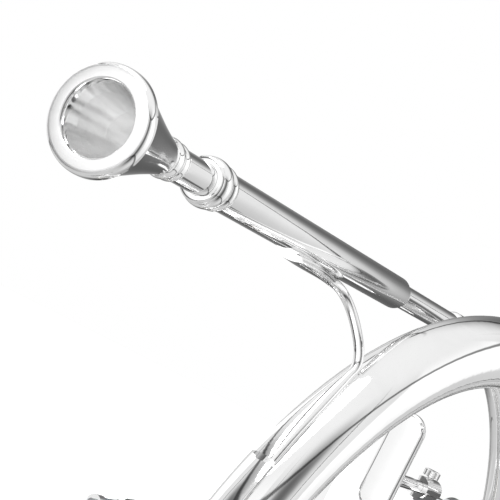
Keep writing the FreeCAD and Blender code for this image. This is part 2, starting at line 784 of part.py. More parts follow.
def bumper(number):
    """The plate on the end of a casing, and its two corks: one for each end of the arm's turn."""
    face = valve_centre(number) - OUT * size("casing_half")
    half = size("arm_width") / 2 + 0.1
    length = size("arm_length")
    holder = half + 3
    name = "bumper_%d" % number
    sheet_box = Part.makeBox(1.2, length + holder + 2.5, length + holder + 2.5,
                             face + V(-1.2, -length - 1, -length - 1))
    sheet_disc = Part.makeCylinder(casing - 1, 1.2, face - OUT * 1.2, OUT)
    plate = sheet_box.common(sheet_disc)
    ear_rest = Part.makeBox(4.2, 1.5, 7, face + V(-4.2, holder, -length - 1))
    ear_down = Part.makeBox(4.2, 7, 1.5, face + V(-4.2, -length - 1, holder))
    clear = Part.makeCylinder(size("hub_radius") + 2.6, 20, face - OUT * 10, OUT)
    plate = plate.cut(clear).fuse([ear_rest, ear_down])
    for degrees in (207, 243):
        spot = face + port_way(degrees) * (length + 2.7) - OUT * 1.2
        plate = plate.cut(Part.makeCylinder(0.8, 3, spot - OUT, OUT))
        head = Part.makeCylinder(1.5, 1, spot, OUT * -1)
        plate_screws.append(head.fuse(Part.makeCylinder(0.8, 1.15, spot, OUT)))
    cork_plates.append(plate.removeSplitter())
    corks.append(Part.makeBox(2.8, 3, 5, face + V(-4.2, half, -length)))
    corks.append(Part.makeBox(2.8, 5, 3, face + V(-4.2, -length, half)))


for number in VALVES:
    valve_casing(number)
    rotor(number)
    stop_arm(number)
    bearing_and_cap(number)
    bumper(number)
    keep(feature("slide_legs_%d" % number, valve_slide_legs(number)), "valve_slide_legs_%d" % number)
    keep(feature("slide_%d" % number, valve_slide(number)), "valve_slide_%d" % number)
group("bearing_plates", bearings)
keep(feature("cork_plates", Part.makeCompound(cork_plates)), "cork_plates")
keep(feature("bumper_corks", Part.makeCompound(corks)), "bumper_corks")
keep(feature("cork_plate_screws", Part.makeCompound(plate_screws)), "cork_plate_screws")

knuckles = []
for number in (1, 2):
    near = valve_centre(number)
    far = valve_centre(number + 1)
    crown = (near + far) * 0.5 + V(0, 0, spacing / 2)
    points = [near + port_way(45) * (casing - 2), crown, far + port_way(135) * (casing - 2)]
    filled, hollow = bored(points, [spacing / math.sqrt(2) - casing], tube, tube, wall)
    knuckles.append(hollow.cut(casing_blocks[number - 1]).cut(casing_blocks[number]))
keep(feature("valve_knuckles", Part.makeCompound(knuckles)), "valve_knuckles")

# ---- keys: hinge rod, posts, levers and strings ----

string_x = valve_x - size("casing_half") - size("string_offset")
hinge_x = string_x - size("hinge_height")
post_offset = casing - 2.5
post_places = [valve_centre(number).y - post_offset for number in VALVES]
post_places.append(valve_centre(3).y + post_offset)
rod_end = post_places[0] - 3.5
keep(cylinder("hinge_rod", "sizes.rod_radius", "%g" % (post_places[-1] - post_places[0] + 7),
              V(hinge_x, rod_end, valve_z), V(0, 1, 0)), "hinge_rod")
posts = []
for place in post_places:
    foot = V(valve_x - size("casing_half"), place, valve_z)
    post = Part.makeCylinder(2, foot.x - hinge_x - 2, foot, OUT * -1)
    eye = Part.makeCylinder(size("barrel_radius"), 4, V(hinge_x, place - 2, valve_z), V(0, 1, 0))
    base = Part.makeCylinder(2.4, 1.2, foot, OUT * -1)
    bore = Part.makeCylinder(size("rod_radius"), 8, V(hinge_x, place - 4, valve_z), V(0, 1, 0))
    posts.append(post.fuse([eye.cut(bore), base]))
keep(feature("hinge_posts", Part.makeCompound(posts)), "hinge_posts")

springs = []


def lever(number):
    """A finger lever: a bell crank whose short arm carries the string past the rotor's hub."""
    name = "lever_%d" % number
    centre = valve_centre(number)
    hinge = V(hinge_x, centre.y + 4, valve_z)
    half_barrel = size("barrel_length") / 2
    barrel = cylinder(name + "_barrel", "sizes.barrel_radius", "sizes.barrel_length",
                      hinge - V(0, half_barrel, 0), V(0, 1, 0))
    side = centre.y + size("hub_radius") + 1.2
    leg = box(name + "_leg", V(hinge_x + 2, side, valve_z - 2.5), "sizes.hinge_height", "sizes.bar_thick",
              "5")
    bar = box(name + "_bar", V(string_x - 2, side, valve_z - size("bar_half")), "4", "sizes.bar_thick",
              "2 * sizes.bar_half")
    pieces = [barrel, leg, bar]
    for end in (-1, 1):
        tip = V(string_x + end, side - 2, valve_z + end * (size("bar_half") - 0.8))
        pieces.append(cylinder("%s_peg_%d" % (name, end + 2), "0.8", "3", tip, V(0, 1, 0)))
    touch = V(hinge_x + size("touch_inset"), (number - 2) * size("touch_pitch") + size("touch_shift"),
              valve_z + size("touch_reach"))
    straight = (size("touch_length") - size("touch_width")) / 2
    shank_start = hinge + V(-1.6, 0, 2)
    shank_end = touch - V(-1.6, 0, straight)
    path = [shank_start, shank_end]
    bends = []
    if number == 1:
        path.insert(1, V(hinge_x + 2, valve_centre(2).y - 14, valve_z + 5.5))
        bends = [30]
    pieces.append(feature(name + "_shank", rod_along(path, bends, 1.9, 1.9)))
    pieces.append(box(name + "_touch", touch - V(0, size("touch_width") / 2, straight), "sizes.touch_thick",
                      "sizes.touch_width", "sizes.touch_length - sizes.touch_width"))
    for end in (-1, 1):
        pieces.append(cylinder("%s_end_%d" % (name, end + 2), "sizes.touch_width / 2", "sizes.touch_thick",
                               touch + V(0, 0, end * straight), OUT))
    bore = cylinder(name + "_bore", "sizes.rod_radius + sizes.slide_gap", "sizes.barrel_length + 24",
                    hinge - V(0, half_barrel + 12, 0), V(0, 1, 0))
    keep(cut(name + "_body", fuse(name + "_blank", pieces), [bore]), "finger_lever_%d" % number)
    spring_start = V(hinge_x, hinge.y - half_barrel - 7.5, valve_z)
    coil = Part.makeCylinder(2.9, 7, spring_start, V(0, 1, 0))
    springs.append(coil.cut(Part.makeCylinder(size("rod_radius"), 7, spring_start, V(0, 1, 0))))
    thread = size("string_radius")
    string_y = centre.y + size("hub_radius") + thread + 0.05
    length = "sizes.bar_half - 1.6"
    upper = cylinder(name + "_string_up", "sizes.string_radius", length,
                     V(string_x + 1, string_y, valve_z), V(0, 0, 1))
    under = cylinder(name + "_string_down", "sizes.string_radius", length,
                     V(string_x - 1, string_y, valve_z), DOWN)
    group("action_string_%d" % number, [upper, under])


for number in VALVES:
    lever(number)
keep(feature("lever_springs", Part.makeCompound(springs)), "lever_springs")

# ---- the adjustable finger hook ----

hook_x = -size("hook_plane")
hook_z = size("hook_rod_height")
socket_start = size("hook_face") + size("hook_thick") + 21
socket_length = 14
plate_outline = curve_through([V(0, 72, 66), V(0, 76, 76), V(0, 88, 80), V(0, 98, 79), V(0, 110, 81),
                               V(0, 119, 84), V(0, 121, 78), V(0, 112, 68), V(0, 96, 61), V(0, 80, 60),
                               V(0, 72, 66)])
saddle_face = lead_x - tube - 0.6
saddle = Part.Face(Part.Wire([plate_outline])).extrude(V(2.4, 0, 0))
saddle.translate(V(saddle_face, 0, 0))
saddle = saddle.cut(lead_bow_filled)
saddle = max(saddle.Solids, key=lambda solid: solid.Volume)
keep(feature("hook_saddle", saddle), "hook_saddle")
socket = Part.makeCylinder(size("hook_rod") + 2.2, socket_length, V(hook_x, socket_start, hook_z), V(0, 1, 0))
web = Part.makeBox(saddle_face - hook_x, socket_length - 2, 5,
                   V(hook_x, socket_start + 1, hook_z - size("hook_rod") - 3.2))
socket = socket.fuse(web)
rod_bore = Part.makeCylinder(size("hook_rod") + size("slide_gap"), 40, V(hook_x, socket_start - 5, hook_z),
                             V(0, 1, 0))
screw_place = V(hook_x, socket_start + socket_length / 2, hook_z + size("hook_rod") + 0.3)
screw_hole = Part.makeCylinder(1.3, 8, screw_place, V(0, 0, 1))
keep(feature("hook_socket", socket.cut(rod_bore).cut(screw_hole).removeSplitter()), "hook_socket")
screw_shank = cylinder("hook_screw_shank", "1.3", "3.5", screw_place, V(0, 0, 1))
screw_head = cylinder("hook_screw_head", "3.4", "3", screw_place + V(0, 0, 2.4), V(0, 0, 1))
keep(fuse("hook_screw_body", [screw_shank, screw_head]), "hook_screw")

paddle_x = hook_x - size("hook_shift")
half_width = size("hook_width") / 2
paddle_body = doc.addObject("PartDesign::Body", "paddle")
paddle_sketch = paddle_body.newObject("Sketcher::SketchObject", "paddle_outline")
paddle_sketch.AttachmentSupport = [(origin_plane(paddle_body, "XZ_Plane"), "")]
paddle_sketch.MapMode = "FlatFace"
arc_high = size("hook_top") - half_width
arc_low = size("hook_bottom") + half_width
paddle_sketch.addGeometry(Part.LineSegment(V(half_width, arc_low, 0), V(half_width, arc_high, 0)))
paddle_sketch.addGeometry(Part.ArcOfCircle(Part.Circle(V(0, arc_high, 0), V(0, 0, 1), half_width), 0,
                                           math.pi))
paddle_sketch.addGeometry(Part.LineSegment(V(-half_width, arc_high, 0), V(-half_width, arc_low, 0)))
paddle_sketch.addGeometry(Part.ArcOfCircle(Part.Circle(V(0, arc_low, 0), V(0, 0, 1), half_width),
                                           math.pi, 2 * math.pi))
for first, first_end, second, second_end in ((0, 2, 1, 1), (1, 2, 2, 1), (2, 2, 3, 1), (3, 2, 0, 1)):
    paddle_sketch.addConstraint(Sketcher.Constraint("Tangent", first, first_end, second, second_end))
for kind, index, spot, value, expression in (
        ("DistanceX", 1, 3, 0, None),
        ("Radius", 1, None, half_width, "sizes.hook_width / 2"),
        ("DistanceY", 1, 3, arc_high, "sizes.hook_top - sizes.hook_width / 2"),
        ("DistanceY", 3, 3, arc_low, "sizes.hook_bottom + sizes.hook_width / 2"),
        ("Vertical", 0, None, None, None)):
    if kind == "Radius":
        made = paddle_sketch.addConstraint(Sketcher.Constraint(kind, index, value))
    elif kind == "Vertical":
        made = paddle_sketch.addConstraint(Sketcher.Constraint(kind, index))
    else:
        made = paddle_sketch.addConstraint(Sketcher.Constraint(kind, -1, 1, index, spot, value))
    if expression:
        paddle_sketch.setExpression("Constraints[%d]" % made, expression)
paddle_pad = paddle_body.newObject("PartDesign::Pad", "paddle_pad")
paddle_pad.Profile = paddle_sketch
paddle_pad.setExpression("Length", "sizes.hook_thick")
doc.recompute()
paddle_round = paddle_body.newObject("PartDesign::Fillet", "paddle_round")
paddle_round.Base = (paddle_pad, ["Face%d" % (index + 1) for index in range(len(paddle_pad.Shape.Faces))
                                  if abs(paddle_pad.Shape.Faces[index].normalAt(0, 0).y) > 0.9])
paddle_round.setExpression("Radius", "sizes.hook_thick * 0.4")
paddle_body.Placement.Base = V(paddle_x, size("hook_face") + size("hook_thick"), 0)
hook_rod_start = V(hook_x, size("hook_face") + size("hook_thick") - 1, hook_z)
hook_stem = cylinder("hook_stem", "sizes.hook_rod", "1 + 21 + %g - 1.5" % socket_length, hook_rod_start,
                     V(0, 1, 0))
keep(fuse("hook_body", [paddle_body, hook_stem]), "finger_hook")

# ---- braces ----


def stay(start, end, tubes):
    """A straight stay between two tubes: a rod with a round foot at each end, fitted to the tubes."""
    length = (end - start).Length
    outline = [(0, 0), (0, 6.5), (17, 2), (length - 17, 2), (length, 6.5), (length, 0), (0, 0)]
    blank = lathe([("line", outline)], start, unit(end - start))
    for tube_shape in tubes:
        blank = blank.cut(tube_shape)
    return max(blank.Solids, key=lambda solid: solid.Volume)


def leaf(stations):
    """A foot of oval section lofted through (centre, direction, up, half width, half height)."""
    wires = []
    for centre, direction, up, half_wide, half_high in stations:
        side = unit(direction.cross(up))
        if half_wide >= half_high:
            oval = Part.Ellipse(centre + side * half_wide, centre + up * half_high, centre)
        else:
            oval = Part.Ellipse(centre + up * half_high, centre + side * half_wide, centre)
        wires.append(Part.Wire(oval.toShape()))
    return Part.makeLoft(wires, True, False)


def coil_brace():
    """The bent wire brace that ties the leadpipe's sleeve to the top of the coil."""
    wire = size("brace_wire")
    wide = size("foot_width") / 2
    sleeve = size("sleeve_radius")
    upper_down = V(0, 0, -1)
    narrow_at = 160.6
    upper = []
    for distance, half_wide, half_high in ((124.3, wide, 1.5), (136, wide * 0.86, 2), (148, wide * 0.6, 2.1),
                                           (narrow_at, wire, wire)):
        drop = sleeve + 0.5 if distance < narrow_at else sleeve + wire * 0.9
        upper.append((along_lead(distance) + upper_down * drop, lead_way, V(0, 0, 1), half_wide, half_high))
    top_end = upper[-1][0]
    lower = []
    for degrees, half_wide, half_high in ((133.6, wire, wire), (138, wide * 0.62, 2.3),
                                          (143, wide * 0.86, 2.3), (149, wide, 1.7)):
        point, way = station(at_angle(degrees))
        outward = unit(point + V(-20, 0, 0))
        skin = bore_radius(at_angle(degrees)) + size("bell_wall")
        out = skin + 0.6 if degrees > 134 else skin + wire * 0.9
        lower.append((point + outward * out, way, outward, half_wide, half_high))
    low_end = lower[0][0]
    middle = (top_end + low_end) * 0.5 + V(2.5, 7.5, 0)
    bend_wire = Part.BSplineCurve()
    bend_wire.interpolate([top_end, middle, low_end], InitialTangent=lead_way * 26,
                          FinalTangent=lower[0][1] * 26)
    shell = Part.BRepOffsetAPI.MakePipeShell(Part.Wire(bend_wire.toShape()))
    shell.setFrenetMode(False)
    shell.add(ring(top_end, lead_way, wire))
    shell.build()
    shell.makeSolid()
    blank = leaf(upper).fuse([leaf(lower), shell.shape()])
    pipe = Part.makeCylinder(sleeve, 160, along_lead(60), lead_way)
    blank = blank.cut(pipe).cut(tail_filled)
    return max(blank.Solids, key=lambda solid: solid.Volume)


keep(feature("coil_brace", coil_brace()), "coil_brace")

stays = []
near_tail = station(at_angle(168))[0]
stays.append(stay(near_tail, V(valve_x, -side_y, near_tail.z), [tail_filled, branch_filled]))
far_tail = station(at_angle(14))[0]
stays.append(stay(far_tail, V(valve_x, side_y, far_tail.z), [bow_filled, feed_filled]))
low_tail = station(at_angle(-62))[0]
stays.append(stay(low_tail, V(main_x, low_tail.y - 20, main_low),
                  [bow_filled, Part.makeCylinder(size("outer_radius"), size("main_far") + size("main_mouth"),
                                                 main_mouths[1], V(0, 1, 0))]))
keep(feature("body_stays", Part.makeCompound(stays)), "body_stays")

doc.recompute()
for thing in doc.Objects:
    if "Invalid" in thing.State or "Error" in thing.State:
        raise RuntimeError("%s failed: %s" % (thing.Name, thing.State))
os.makedirs("parts", exist_ok=True)
for thing in parts:
    shape = thing.Shape
    if shape.isNull() or not shape.isValid():
        raise RuntimeError("%s has no valid shape" % thing.Label)
    if not shape.Solids:
        raise RuntimeError("%s holds no solid" % thing.Label)
    shape.exportStep("parts/%s.step" % thing.Label)
    print("%-22s solids %d volume %9.1f" % (thing.Label, len(shape.Solids), shape.Volume))
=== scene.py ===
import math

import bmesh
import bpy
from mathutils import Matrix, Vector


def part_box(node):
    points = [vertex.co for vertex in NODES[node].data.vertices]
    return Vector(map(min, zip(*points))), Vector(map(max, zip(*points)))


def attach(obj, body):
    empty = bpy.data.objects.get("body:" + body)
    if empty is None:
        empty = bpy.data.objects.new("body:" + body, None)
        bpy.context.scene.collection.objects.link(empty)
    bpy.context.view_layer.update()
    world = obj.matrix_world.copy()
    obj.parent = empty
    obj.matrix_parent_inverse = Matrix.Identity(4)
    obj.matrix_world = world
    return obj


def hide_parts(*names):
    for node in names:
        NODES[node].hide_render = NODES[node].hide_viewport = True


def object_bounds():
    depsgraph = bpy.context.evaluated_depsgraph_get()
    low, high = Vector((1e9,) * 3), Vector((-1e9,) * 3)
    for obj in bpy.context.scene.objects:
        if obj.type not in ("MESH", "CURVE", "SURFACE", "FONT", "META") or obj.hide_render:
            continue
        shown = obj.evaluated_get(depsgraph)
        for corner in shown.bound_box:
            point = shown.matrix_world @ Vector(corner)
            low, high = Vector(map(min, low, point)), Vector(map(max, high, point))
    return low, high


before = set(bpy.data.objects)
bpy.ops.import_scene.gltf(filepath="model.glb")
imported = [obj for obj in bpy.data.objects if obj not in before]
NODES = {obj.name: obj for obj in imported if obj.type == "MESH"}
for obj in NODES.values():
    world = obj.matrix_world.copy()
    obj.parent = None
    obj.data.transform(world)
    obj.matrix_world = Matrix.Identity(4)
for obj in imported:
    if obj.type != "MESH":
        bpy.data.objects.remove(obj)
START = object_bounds()

# %% [markdown]
# # A French horn in silver plate
# A French horn is a brass tube of about two and a half metres, coiled on itself, with a mouthpiece at one
# end, a wide bell at the other and three rotary valves in the middle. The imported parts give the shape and
# the moving joints. This script gives them their finish, adds the small pieces that a maker would add last,
# such as springs, knurled screws and wound string, and sets a white studio around the horn.

MM = 0.001
print("nodes in the frame:", len(NODES))


def mm(x, y, z):
    """A point given in millimetres, in metres."""
    return Vector((x, y, z)) * MM


# %% [markdown]
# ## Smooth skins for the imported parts
# Polished metal shows every facet of a mesh in its reflections. Real tube has none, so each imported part
# gets smooth shading. The parts arrive as loose triangles. One way is to rebuild each mesh, but a Weld
# modifier joins the triangles without touching the part itself, and an Edge Split modifier keeps the
# corners that a file or a lathe leaves sharp.

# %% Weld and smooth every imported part
WELD = 0.002 * MM
CORNER = math.radians(32)


def smooth_skin(part):
    """Smooth shading with sharp corners kept, as two live modifiers."""
    for face in part.data.polygons:
        face.use_smooth = True
    weld = part.modifiers.new("weld", "WELD")
    weld.merge_threshold = WELD
    split = part.modifiers.new("corners", "EDGE_SPLIT")
    split.split_angle = CORNER


for part in NODES.values():
    smooth_skin(part)
print("smoothed parts:", len(NODES))

# %% [markdown]
# ## A small kit for materials
# Every finish below is a node tree.


# %% Colour, node and material helpers
def linear(code, alpha=1.0):
    """sRGB hex to linear RGBA."""
    parts = [int(code[at:at + 2], 16) / 255 for at in (1, 3, 5)]
    return [p / 12.92 if p <= 0.04045 else ((p + 0.055) / 1.055) ** 2.4 for p in parts] + [alpha]


def add_node(tree, kind, settings=None, links=None):
    """Adds a node. Settings named as properties are set on the node, and other names on its inputs."""
    node = tree.nodes.new(kind)
    for name, value in (settings or {}).items():
        if isinstance(name, str) and hasattr(node, name):
            setattr(node, name, value)
        else:
            node.inputs[name].default_value = value
    for name, source in (links or {}).items():
        tree.links.new(source, node.inputs[name])
    return node


def start_material(name, constants):
    """A new material, its tree and its shader, with the constant values on the shader's sockets."""
    material = bpy.data.materials.new(name)
    material.use_nodes = True
    tree = material.node_tree
    shader = tree.nodes["Principled BSDF"]
    for socket, value in constants.items():
        shader.inputs[socket].default_value = value
    return material, tree, shader


def ramp_stops(ramp, stops):
    """Sets a colour ramp from (position, hex colour) pairs."""
    elements = ramp.color_ramp.elements
    while len(elements) > 1:
        elements.remove(elements[-1])
    elements[0].position, elements[0].color = stops[0][0], linear(stops[0][1])
    for position, code in stops[1:]:
        elements.new(position).color = linear(code)


print("linear mid grey:", round(linear("#808080")[0], 3))

# %% [markdown]
# ## Polished metal
# Silver plate over brass is buffed with soft wheels until it is a mirror. What gives it away as metal and
# not glass is what is left on it: hair-fine buffing lines that run round the tube, faint clouds where a
# cloth or a hand has been, and a very slight waviness from the drawing and bending of the tube. The lines
# are too fine to show at their true size, so they are drawn a little coarser. The same recipe with other
# colours and coarser lines serves nickel silver, brass and steel.


# %% A recipe for buffed metal
def buffed_metal(name, light, dark, roughness, line_mm, cloud_mm, spread, wave):
    """Metal with buffing lines, clouds of handling and a slight waviness.

    light, dark: the two tones of the surface. spread: how far the roughness wanders from its middle.
    line_mm, cloud_mm: the real spacing of lines and clouds. wave: height of the surface ripple in mm.
    """
    material, tree, shader = start_material(name, {"Metallic": 1.0})
    place = add_node(tree, "ShaderNodeTexCoord").outputs["Object"]
    clouds = add_node(tree, "ShaderNodeTexNoise",
                      {"Scale": 1 / (cloud_mm * MM), "Detail": 5.0, "Roughness": 0.6, "Distortion": 0.6},
                      {"Vector": place})
    stretch = add_node(tree, "ShaderNodeMapping", {"Scale": (0.12, 1.0, 1.0), "Rotation": (0.3, 0.5, 0.2)},
                       {"Vector": place})
    lines = add_node(tree, "ShaderNodeTexNoise",
                     {"Scale": 1 / (line_mm * MM), "Detail": 3.0, "Roughness": 0.7},
                     {"Vector": stretch.outputs["Vector"]})
    tone = add_node(tree, "ShaderNodeValToRGB", {}, {"Fac": clouds.outputs["Fac"]})
    ramp_stops(tone, [(0.32, dark), (0.62, light)])
    tree.links.new(tone.outputs["Color"], shader.inputs["Base Color"])
    both = add_node(tree, "ShaderNodeMath", {"operation": "MULTIPLY"},
                    {0: clouds.outputs["Fac"], 1: lines.outputs["Fac"]})
    gloss = add_node(tree, "ShaderNodeMapRange",
                     {"From Min": 0.12, "From Max": 0.42,
                      "To Min": max(roughness - spread, 0.01), "To Max": roughness + spread},
                     {"Value": both.outputs["Value"]})
    tree.links.new(gloss.outputs["Result"], shader.inputs["Roughness"])
    ripple = add_node(tree, "ShaderNodeTexNoise", {"Scale": 1 / (24 * MM), "Detail": 1.0}, {"Vector": place})
    swell = add_node(tree, "ShaderNodeBump", {"Strength": 1.0, "Distance": wave * MM},
                     {"Height": ripple.outputs["Fac"]})
    scratch = add_node(tree, "ShaderNodeBump", {"Strength": 0.35, "Distance": 0.004 * MM},
                       {"Height": lines.outputs["Fac"], "Normal": swell.outputs["Normal"]})
    tree.links.new(scratch.outputs["Normal"], shader.inputs["Normal"])
    return material


SILVER = buffed_metal("silver_plate_buffed", "#FAFAFA", "#F4F4F4", 0.05, 0.5, 26, 0.03, 0.05)
NICKEL = buffed_metal("nickel_silver_drawn", "#E9E7E1", "#DCD9D1", 0.10, 0.4, 18, 0.04, 0.02)
BRASS = buffed_metal("yellow_brass_turned", "#E8C77C", "#D3AE62", 0.20, 0.35, 12, 0.06, 0.01)
STEEL = buffed_metal("screw_steel_ground", "#C9C9CC", "#B2B2B6", 0.22, 0.3, 8, 0.07, 0.01)
SPRING = buffed_metal("spring_steel_blued", "#8C8F98", "#5E626C", 0.28, 0.3, 6, 0.06, 0.01)
print("metals:", [m.name for m in (SILVER, NICKEL, BRASS, STEEL, SPRING)])

# %% Which part has which metal
METALS = {
    NICKEL: ["valve_slide_1", "valve_slide_2", "valve_slide_3", "main_tuning_slide"],
    BRASS: ["rotor_1", "rotor_2", "rotor_3", "bearing_plates"],
    STEEL: ["hinge_rod", "water_key_pin", "cork_plate_screws"],
    SPRING: ["lever_springs"],
}
for part in NODES.values():
    part.data.materials.clear()
    part.data.materials.append(SILVER)
for metal, names in METALS.items():
    for name in names:
        NODES[name].data.materials[0] = metal
print("parts in silver:", sum(part.data.materials[0] == SILVER for part in NODES.values()))

# %% [markdown]
# ## Helpers for turned and wound pieces
# Most of what is still missing is turned on a lathe or wound from wire: the mouthpiece, springs, rings and
# string. A turned piece is a half section spun through a full turn. A wound piece is a small circle spun
# while it also moves along the axis. Both are one spin operator, so both get one short helper.


# %% Spin helpers
def aim(base, direction):
    """The matrix that lays the local Z axis along a direction, from a base point."""
    return Matrix.Translation(base) @ direction.to_track_quat("Z", "Y").to_matrix().to_4x4()


def add_piece(name, shape, materials, body):
    """A finished bmesh becomes an object at the origin that rides on a body."""
    bmesh.ops.recalc_face_normals(shape, faces=shape.faces)
    for face in shape.faces:
        face.smooth = True
    mesh = bpy.data.meshes.new(name)
    shape.to_mesh(mesh)
    shape.free()
    for material in materials:
        mesh.materials.append(material)
    piece = bpy.data.objects.new(name, mesh)
    bpy.context.scene.collection.objects.link(piece)
    split = piece.modifiers.new("corners", "EDGE_SPLIT")
    split.split_angle = CORNER
    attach(piece, body)
    print(name, "faces:", len(mesh.polygons))
    return piece


def turn(shape, section, base, direction, steps):
    """A half section of (distance along the axis, radius) points in mm, spun through a full turn."""
    points = [shape.verts.new((radius * MM, 0, distance * MM)) for distance, radius in section]
    edges = [shape.edges.new(pair) for pair in zip(points, points[1:])]
    bmesh.ops.spin(shape, geom=points + edges, cent=(0, 0, 0), axis=(0, 0, 1), dvec=(0, 0, 0),
                   angle=math.tau, steps=steps, use_merge=True, use_normal_flip=False,
                   use_duplicate=False)
    fresh = [v for v in shape.verts if not v.tag]
    bmesh.ops.remove_doubles(shape, verts=fresh, dist=WELD)
    fresh = [v for v in shape.verts if not v.tag]
    bmesh.ops.transform(shape, matrix=aim(base, direction), verts=fresh)
    for vert in fresh:
        vert.tag = True


def wind(shape, base, direction, radius, wire, length, turns, steps=20, sides=8, start=0.0):
    """A wire wound round an axis, in mm: one circle spun through many turns while it climbs."""
    made = bmesh.ops.create_circle(shape, cap_ends=True, segments=sides, radius=wire * MM)
    loop = made["verts"]
    bmesh.ops.rotate(shape, verts=loop, cent=(0, 0, 0), matrix=Matrix.Rotation(math.radians(90), 3, "X"))
    bmesh.ops.translate(shape, verts=loop, vec=(radius * MM, 0, 0))
    bmesh.ops.rotate(shape, verts=loop, cent=(0, 0, 0), matrix=Matrix.Rotation(start, 3, "Z"))
    ends = list({face for v in loop for face in v.link_faces})
    count = round(turns * steps)
    bmesh.ops.spin(shape, geom=ends, cent=(0, 0, 0), axis=(0, 0, 1),
                   dvec=(0, 0, length * MM / count), angle=turns * math.tau, steps=count,
                   use_merge=False, use_normal_flip=False, use_duplicate=False)
    fresh = [v for v in shape.verts if not v.tag]
    bmesh.ops.transform(shape, matrix=aim(base, direction), verts=fresh)
    for vert in fresh:
        vert.tag = True


def bead(shape, base, direction, radius, wire, steps=96, sides=12):
    """A closed ring of round wire, in mm."""
    made = bmesh.ops.create_circle(shape, segments=sides, radius=wire * MM)
    loop = made["verts"]
    bmesh.ops.rotate(shape, verts=loop, cent=(0, 0, 0), matrix=Matrix.Rotation(math.radians(90), 3, "X"))
    bmesh.ops.translate(shape, verts=loop, vec=(radius * MM, 0, 0))
    edges = list({edge for v in loop for edge in v.link_edges})
    bmesh.ops.spin(shape, geom=loop + edges, cent=(0, 0, 0), axis=(0, 0, 1), dvec=(0, 0, 0),
                   angle=math.tau, steps=steps, use_merge=True, use_normal_flip=False, use_duplicate=False)
    fresh = [v for v in shape.verts if not v.tag]
    bmesh.ops.transform(shape, matrix=aim(base, direction), verts=fresh)
    for vert in fresh:
        vert.tag = True


def eased(points, each=6):
    """A smooth line through section points, as a draughtsman's spline."""
    line = []
    padded = [points[0]] + points + [points[-1]]
    for before, here, there, after in zip(padded, padded[1:], padded[2:], padded[3:]):
        for step in range(each):
            t = step / each
            line.append(tuple(
                0.5 * (2 * b + (c - a) * t + (2 * a - 5 * b + 4 * c - d) * t * t
                       + (3 * b - a - 3 * c + d) * t ** 3)
                for a, b, c, d in zip(before, here, there, after)))
    return line + [points[-1]]


print("helpers: turn, wind, bead")

# %% [markdown]
# ## The mouthpiece
# The mouthpiece is turned from a brass bar and then plated. Its rim is polished last on a felt wheel, which
# leaves the flat of the rim satin and its edges bright. The cup is a cone, as on every horn, and keeps the
# faint rings of the reamer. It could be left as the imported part, but its reflections need a finer mesh
# and three finishes on one piece, so it is spun again here from the same section.

# %% Finishes of the mouthpiece
SATIN = buffed_metal("silver_rim_satin", "#FFFFFF", "#F8F8F8", 0.38, 0.35, 5, 0.05, 0.0)
CUP = buffed_metal("silver_cup_reamed", "#FDFDFD", "#F6F6F6", 0.20, 0.3, 4, 0.05, 0.0)
print("mouthpiece finishes:", SATIN.name, CUP.name)

# %% Spin the mouthpiece
RIM_CENTRE = mm(4.10, -277.36, 140.5)
LEAD_WAY = Vector((-0.12343, 0.99235, 0.0)).normalized()
RIM, CUP_EDGE, THROAT, SHANK = 13.5, 9.7, 2.2, 4.45
FLAT = RIM - 1.5
outside = (
    [(0, CUP_EDGE)]
    + eased([(0, FLAT), (0.25, RIM - 0.8), (0.9, RIM - 0.25), (2, RIM), (3.4, RIM)])
    + eased([(4.2, RIM - 0.7), (8, RIM - 1.9), (14, RIM - 3.7), (22, RIM - 6), (29, RIM - 7.8),
             (33.5, SHANK + 0.3)])
    + eased([(33.5, SHANK + 0.6), (35, SHANK + 0.95), (36.5, SHANK + 0.6)])
    + [(36.5, SHANK - 0.1), (37.5, SHANK - 0.1)]
    + eased([(37.5, SHANK + 0.4), (38.7, SHANK + 0.65), (39.9, SHANK + 0.4)])
    + [(39.9, SHANK), (56.5, SHANK), (74, 4.15)]
)
inside = (
    [(74, 3.35), (40, THROAT + 0.4)]
    + eased([(34, THROAT), (26, THROAT + 1.3), (14, THROAT + 4.3), (2.2, CUP_EDGE - 0.9)])
    + eased([(1.1, CUP_EDGE - 0.7), (0.35, CUP_EDGE - 0.35), (0, CUP_EDGE)])
)
section = outside + inside
shape = bmesh.new()
turn(shape, section, RIM_CENTRE, LEAD_WAY, 128)
for face in shape.faces:
    middle = face.calc_center_median() - RIM_CENTRE
    along = middle.dot(LEAD_WAY) / MM
    off = (middle - LEAD_WAY * middle.dot(LEAD_WAY)).length / MM
    if along < 0.2 and CUP_EDGE - 0.2 < off < RIM - 0.9:
        face.material_index = 1
    elif along < 36 and off < CUP_EDGE - 0.8 - along * 0.18:
        face.material_index = 2
mouthpiece = add_piece("mouthpiece_turned", shape, [SILVER, SATIN, CUP], "mouthpiece_body")
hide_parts("mouthpiece")

# %% [markdown]
# ## Springs, string and screws
# A finger lever is brought back by a spring of steel wire wound round its hinge rod. The lever turns its
# rotor with a waxed cord that is wound round the hub and tied to a peg at each end of the lever's bar. A
# knurled screw holds the finger hook. They are all small, but a horn without them looks like a toy.

# %% Waxed cord and cork
cord_wax, tree, shader = start_material("braided_cord_waxed", {"Roughness": 0.55, "Sheen Weight": 0.2})
place = add_node(tree, "ShaderNodeTexCoord").outputs["Object"]
plait = add_node(tree, "ShaderNodeTexWave", {"wave_type": "BANDS", "bands_direction": "DIAGONAL",
                                             "Scale": 1 / (3.0 * MM), "Distortion": 0.6}, {"Vector": place})
# The cord's colour follows the same bands as its bump, so the low grooves are painted darker: painted shade
# between the strands.
tone = add_node(tree, "ShaderNodeValToRGB", {}, {"Fac": plait.outputs["Fac"]})
ramp_stops(tone, [(0.2, "#8E8672"), (0.7, "#DDD6C2")])
tree.links.new(tone.outputs["Color"], shader.inputs["Base Color"])
lift = add_node(tree, "ShaderNodeBump", {"Strength": 0.6, "Distance": 0.05 * MM},
                {"Height": plait.outputs["Fac"]})
tree.links.new(lift.outputs["Normal"], shader.inputs["Normal"])

